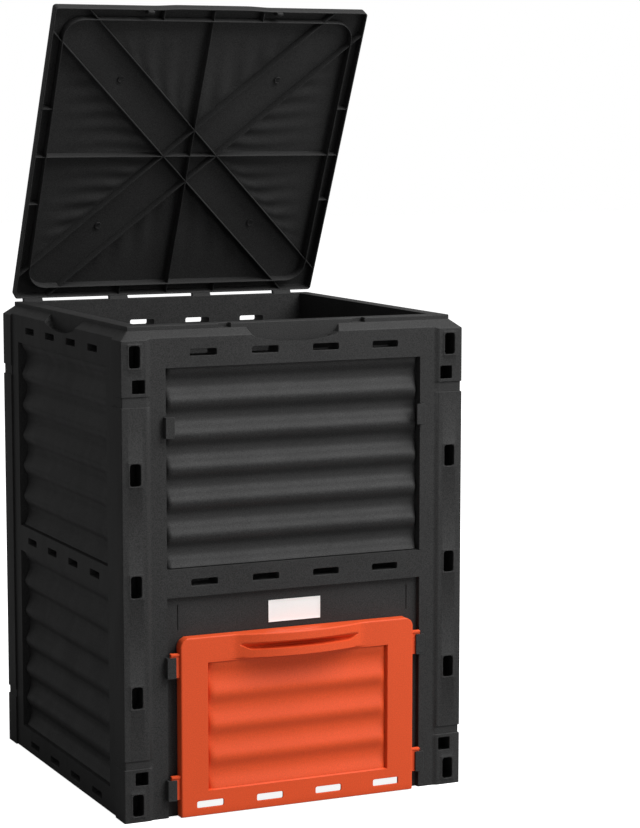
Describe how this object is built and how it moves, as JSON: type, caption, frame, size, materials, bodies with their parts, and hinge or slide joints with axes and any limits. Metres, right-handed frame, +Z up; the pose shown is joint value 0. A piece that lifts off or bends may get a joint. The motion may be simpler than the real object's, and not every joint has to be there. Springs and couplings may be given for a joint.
{
  "type": "compost bin",
  "caption": "Square upright compost bin with ribbed vented walls, an open base, a hinged ribbed lid and a lift-out emptying door.",
  "frame": {"origin": "on the ground under the middle of the overall length and width", "axes": "+Z up, +X to the viewer's right when facing the door, the door and the lid's free edge towards -Y"},
  "size_m": [0.6, 0.6306, 1.3049],
  "materials": {
    "black_plastic": "fine-grained matte black moulding",
    "orange_plastic": "satin orange moulding",
    "white_plate": "plain white, nothing printed on it",
    "pin_plastic": "smooth black"
  },
  "bodies": {
    "bin_body": {"front_wall": "black_plastic", "back_wall": "black_plastic", "left_wall": "black_plastic", "right_wall": "black_plastic", "name_plate": "white_plate", "hinge_pin_1": "pin_plastic", "hinge_pin_2": "pin_plastic", "hinge_pin_3": "pin_plastic", "hinge_pin_4": "pin_plastic"},
    "lid": {"lid": "black_plastic"},
    "door": {"door": "orange_plastic"}
  },
  "joints": [
    {"name": "lid_hinge", "type": "hinge", "parent": "bin_body", "child": "lid", "pos_m": [0, 0.28875, 0.787], "axis": [1, 0, 0], "range_deg": [-46.2, 63.8]},
    {"name": "door_slide", "type": "slide", "parent": "bin_body", "child": "door", "axis": [0, 0, 1], "range_m": [0, 0.061]}
  ]
}
